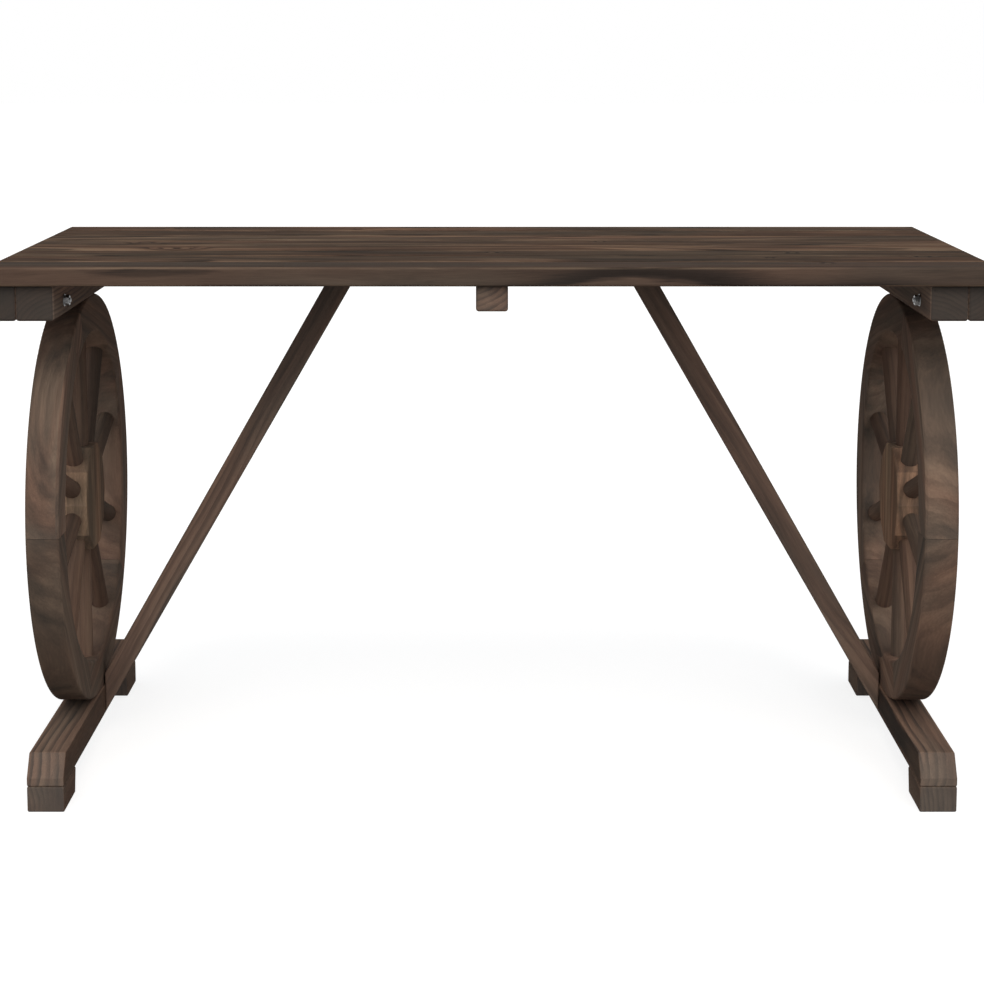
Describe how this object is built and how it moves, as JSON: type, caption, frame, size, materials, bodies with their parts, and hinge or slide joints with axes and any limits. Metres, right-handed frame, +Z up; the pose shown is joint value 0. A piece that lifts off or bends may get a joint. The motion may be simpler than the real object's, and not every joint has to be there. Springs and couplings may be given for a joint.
{
  "type": "garden table",
  "caption": "Rectangular slatted wooden garden table on two upright wagon wheels, each held between a top beam and a footed base beam, with slanting braces to the top.",
  "frame": {"origin": "on the ground at the middle of the footprint", "axes": "+X along the slats, -Y towards the front, +Z up"},
  "size_m": [1.35, 0.643, 0.75],
  "materials": {
    "top_wood": "dark brown stain, matt, open grain",
    "frame_wood": "dark brown stain, matt, open grain",
    "wheel_wood": "dark brown stain, matt, open grain",
    "dowel_wood": "bare hardwood",
    "zinc_steel": "zinc plated, dull"
  },
  "bodies": {
    "root": {"bolt_nuts": "zinc_steel", "bolt_washers": "zinc_steel", "carriage_bolts": "zinc_steel", "centre_batten": "frame_wood", "felloe_dowels": "dowel_wood", "frame_screws": "zinc_steel", "left_base_beam": "frame_wood", "left_brace": "frame_wood", "left_end_batten": "frame_wood", "left_front_foot": "frame_wood", "left_rear_foot": "frame_wood", "left_top_beam": "frame_wood", "left_wheel_felloe_1": "wheel_wood", "left_wheel_felloe_2": "wheel_wood", "left_wheel_felloe_3": "wheel_wood", "left_wheel_felloe_4": "wheel_wood", "left_wheel_felloe_5": "wheel_wood", "left_wheel_hub": "wheel_wood", "left_wheel_spoke_1": "wheel_wood", "left_wheel_spoke_10": "wheel_wood", "left_wheel_spoke_2": "wheel_wood", "left_wheel_spoke_3": "wheel_wood", "left_wheel_spoke_4": "wheel_wood", "left_wheel_spoke_5": "wheel_wood", "left_wheel_spoke_6": "wheel_wood", "left_wheel_spoke_7": "wheel_wood", "left_wheel_spoke_8": "wheel_wood", "left_wheel_spoke_9": "wheel_wood", "right_base_beam": "frame_wood", "right_brace": "frame_wood", "right_end_batten": "frame_wood", "right_front_foot": "frame_wood", "right_rear_foot": "frame_wood", "right_top_beam": "frame_wood", "right_wheel_felloe_1": "wheel_wood", "right_wheel_felloe_2": "wheel_wood", "right_wheel_felloe_3": "wheel_wood", "right_wheel_felloe_4": "wheel_wood", "right_wheel_felloe_5": "wheel_wood", "right_wheel_hub": "wheel_wood", "right_wheel_spoke_1": "wheel_wood", "right_wheel_spoke_10": "wheel_wood", "right_wheel_spoke_2": "wheel_wood", "right_wheel_spoke_3": "wheel_wood", "right_wheel_spoke_4": "wheel_wood", "right_wheel_spoke_5": "wheel_wood", "right_wheel_spoke_6": "wheel_wood", "right_wheel_spoke_7": "wheel_wood", "right_wheel_spoke_8": "wheel_wood", "right_wheel_spoke_9": "wheel_wood", "slat_screws": "zinc_steel", "top_slat_1": "top_wood", "top_slat_2": "top_wood", "top_slat_3": "top_wood", "top_slat_4": "top_wood", "top_slat_5": "top_wood", "top_slat_6": "top_wood", "top_slat_7": "top_wood", "top_slat_8": "top_wood", "wheel_screws": "zinc_steel"}
  },
  "joints": []
}
